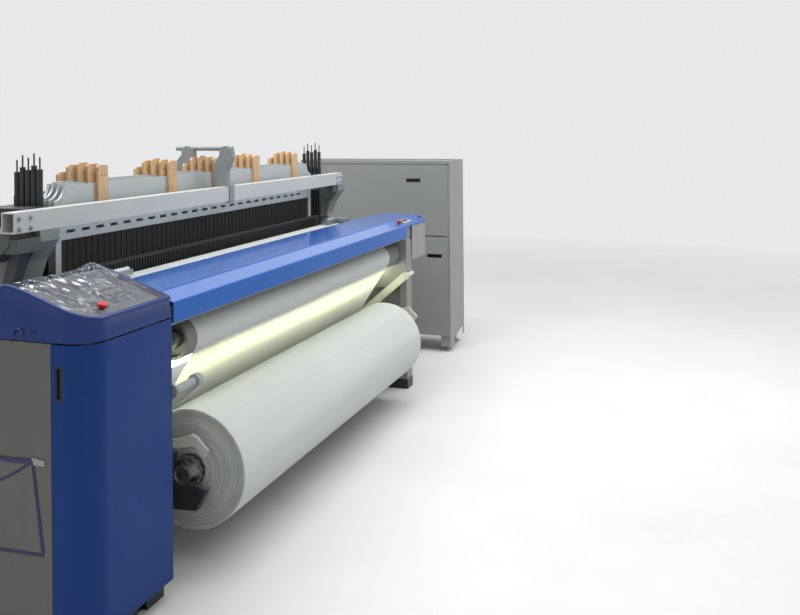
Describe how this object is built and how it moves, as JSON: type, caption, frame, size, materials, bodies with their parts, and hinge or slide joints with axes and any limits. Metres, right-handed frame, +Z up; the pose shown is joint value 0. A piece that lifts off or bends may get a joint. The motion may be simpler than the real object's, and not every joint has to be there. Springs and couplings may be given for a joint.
{
  "type": "power loom",
  "caption": "Wide shuttleless air-jet power loom with heald frames, cloth roll, blue breast-beam cover, control cabinet and drive cabinet, dressed with warp and cloth.",
  "frame": {"origin": "on the floor under the middle of the machine's bounding box", "axes": "+X along the width towards the weaver's right (the drive cabinet), +Y from the cloth side to the warp side, +Z up"},
  "size_m": [4.414, 1.8998, 1.531],
  "materials": {
    "frame_casting": "painted, dusty",
    "black_steel": "satin",
    "blue_sheet": "gloss enamel",
    "blue_hood": "gloss moulding",
    "bare_steel": "turned and wiped",
    "roller_sand": "rough friction wrap",
    "roller_rubber": "matt",
    "cloth": "plain grey cloth",
    "yarn": "parallel yarns",
    "holder_black": "black, worn",
    "cream_paint": "satin",
    "lamp": "lit tube under a white reflector",
    "grey_sheet": "satin enamel",
    "black_plastic": "matt",
    "panel": "satin",
    "clear_film": "crinkled clear film",
    "red_plastic": "gloss",
    "green_plastic": "gloss",
    "plate": "satin",
    "beam_grey": "satin enamel",
    "zinc": "zinc plated",
    "reed_steel": "fine blades",
    "sley_alloy": "dull",
    "warp_beam": "cast flanges, wound yarn",
    "heald_alloy": "anodised rails over dark healds",
    "slat_wood": "bare, worn"
  },
  "bodies": {
    "loom_frame": {"side_frame_left": "frame_casting", "side_frame_right": "frame_casting", "cross_beams": "frame_casting", "levelling_feet": "black_steel", "breast_beam": "frame_casting", "breast_beam_cover": "blue_sheet", "cloth_guide_bar": "bare_steel", "cloth_web": "cloth", "roll_holders": "holder_black", "inspection_lamp": "lamp", "control_cabinet": "grey_sheet", "cabinet_base": "black_steel", "hood": "blue_hood", "control_panel": "panel", "film_cover": "clear_film", "document_pocket": "clear_film", "drive_cabinet": "grey_sheet", "drive_cabinet_lid": "grey_sheet", "upper_side_cover": "grey_sheet", "lower_side_cover": "grey_sheet", "end_cover": "grey_sheet", "drive_housing": "frame_casting", "button_plate": "plate", "top_beam": "beam_grey", "beam_brackets": "frame_casting", "beam_bolts": "zinc", "center_arch": "beam_grey", "frame_guides": "black_steel", "temples": "zinc", "stop_motion": "bare_steel", "warp_sheet": "yarn"},
    "take_up": {"take_up_roller": "roller_sand"},
    "press_roll": {"press_roller": "roller_rubber"},
    "wound_roll": {"cloth_roll": "cloth", "cloth_roll_shaft": "bare_steel"},
    "arms": {"press_arms": "cream_paint"},
    "left_latch": {"roll_latch_left": "cream_paint"},
    "right_latch": {"roll_latch_right": "cream_paint"},
    "corner_door": {"post_cover": "blue_sheet", "post_latch": "black_plastic"},
    "left_stop": {"stop_button_left": "red_plastic"},
    "right_stop": {"stop_button_right": "red_plastic"},
    "start_key": {"start_button": "green_plastic"},
    "inching_key": {"inching_button": "black_plastic"},
    "sley_unit": {"sley": "sley_alloy", "reed": "reed_steel", "relay_nozzles": "bare_steel", "main_nozzles": "bare_steel"},
    "back_rest": {"back_rest_roller": "bare_steel"},
    "beam_unit": {"warp_beam": "warp_beam"},
    "heald_unit_1": {"heald_frame_1": "heald_alloy", "guide_slats_1": "slat_wood"},
    "heald_unit_2": {"heald_frame_2": "heald_alloy", "guide_slats_2": "slat_wood"},
    "heald_unit_3": {"heald_frame_3": "heald_alloy", "guide_slats_3": "slat_wood"},
    "heald_unit_4": {"heald_frame_4": "heald_alloy", "guide_slats_4": "slat_wood"},
    "heald_unit_5": {"heald_frame_5": "heald_alloy", "guide_slats_5": "slat_wood"}
  },
  "joints": [
    {"name": "roll_spin", "type": "hinge", "parent": "loom_frame", "child": "wound_roll", "pos_m": [-0.443, -0.7265, 0.346], "axis": [1, 0, 0], "continuous": true},
    {"name": "take_up_spin", "type": "hinge", "parent": "loom_frame", "child": "take_up", "pos_m": [-0.443, -0.6815, 0.835], "axis": [1, 0, 0], "continuous": true},
    {"name": "press_roll_spin", "type": "hinge", "parent": "loom_frame", "child": "press_roll", "pos_m": [-0.443, -0.574, 0.806], "axis": [1, 0, 0], "continuous": true},
    {"name": "press_arm_swing", "type": "hinge", "parent": "loom_frame", "child": "arms", "pos_m": [-0.443, -0.792, 0.702], "axis": [1, 0, 0], "range_deg": [0, 20]},
    {"name": "left_latch_swing", "type": "hinge", "parent": "loom_frame", "child": "left_latch", "pos_m": [-1.566, -0.606, 0.441], "axis": [-1, 0, 0], "range_deg": [0, 70]},
    {"name": "right_latch_swing", "type": "hinge", "parent": "loom_frame", "child": "right_latch", "pos_m": [0.795, -0.656, 0.468], "axis": [-1, 0, 0], "range_deg": [0, 70]},
    {"name": "corner_door_hinge", "type": "hinge", "parent": "loom_frame", "child": "corner_door", "pos_m": [-1.771, -0.792, 0.5], "axis": [0, 0, 1], "range_deg": [0, 100]},
    {"name": "left_stop_press", "type": "slide", "parent": "loom_frame", "child": "left_stop", "axis": [0, 0.3239, -0.9461], "range_m": [0, 0.006], "stiffness_N_per_m": 900},
    {"name": "right_stop_press", "type": "slide", "parent": "loom_frame", "child": "right_stop", "axis": [0, 0.3078, -0.9514], "range_m": [0, 0.006], "stiffness_N_per_m": 900},
    {"name": "start_press", "type": "slide", "parent": "loom_frame", "child": "start_key", "axis": [0, 0.3078, -0.9514], "range_m": [0, 0.002], "stiffness_N_per_m": 600},
    {"name": "inching_press", "type": "slide", "parent": "loom_frame", "child": "inching_key", "axis": [0, 0.3078, -0.9514], "range_m": [0, 0.002], "stiffness_N_per_m": 600},
    {"name": "sley_swing", "type": "hinge", "parent": "loom_frame", "child": "sley_unit", "pos_m": [-0.443, -0.3, 0.64], "axis": [1, 0, 0], "range_deg": [0, 8.3]},
    {"name": "back_rest_spin", "type": "hinge", "parent": "loom_frame", "child": "back_rest", "pos_m": [-0.443, 0.44, 0.969], "axis": [1, 0, 0], "continuous": true},
    {"name": "warp_beam_spin", "type": "hinge", "parent": "loom_frame", "child": "beam_unit", "pos_m": [-0.443, 0.565, 0.52], "axis": [1, 0, 0], "continuous": true},
    {"name": "heald_lift_1", "type": "slide", "parent": "loom_frame", "child": "heald_unit_1", "axis": [0, 0, 1], "range_m": [-0.03, 0.03]},
    {"name": "heald_lift_2", "type": "slide", "parent": "loom_frame", "child": "heald_unit_2", "axis": [0, 0, 1], "range_m": [-0.036, 0.024]},
    {"name": "heald_lift_3", "type": "slide", "parent": "loom_frame", "child": "heald_unit_3", "axis": [0, 0, 1], "range_m": [-0.042, 0.018]},
    {"name": "heald_lift_4", "type": "slide", "parent": "loom_frame", "child": "heald_unit_4", "axis": [0, 0, 1], "range_m": [-0.034, 0.026]},
    {"name": "heald_lift_5", "type": "slide", "parent": "loom_frame", "child": "heald_unit_5", "axis": [0, 0, 1], "range_m": [-0.006, 0.054]}
  ],
  "couplings": [
    {"joint": "take_up_spin", "follows": "roll_spin", "ratio": -2.98},
    {"joint": "press_roll_spin", "follows": "roll_spin", "ratio": 6.2083}
  ]
}
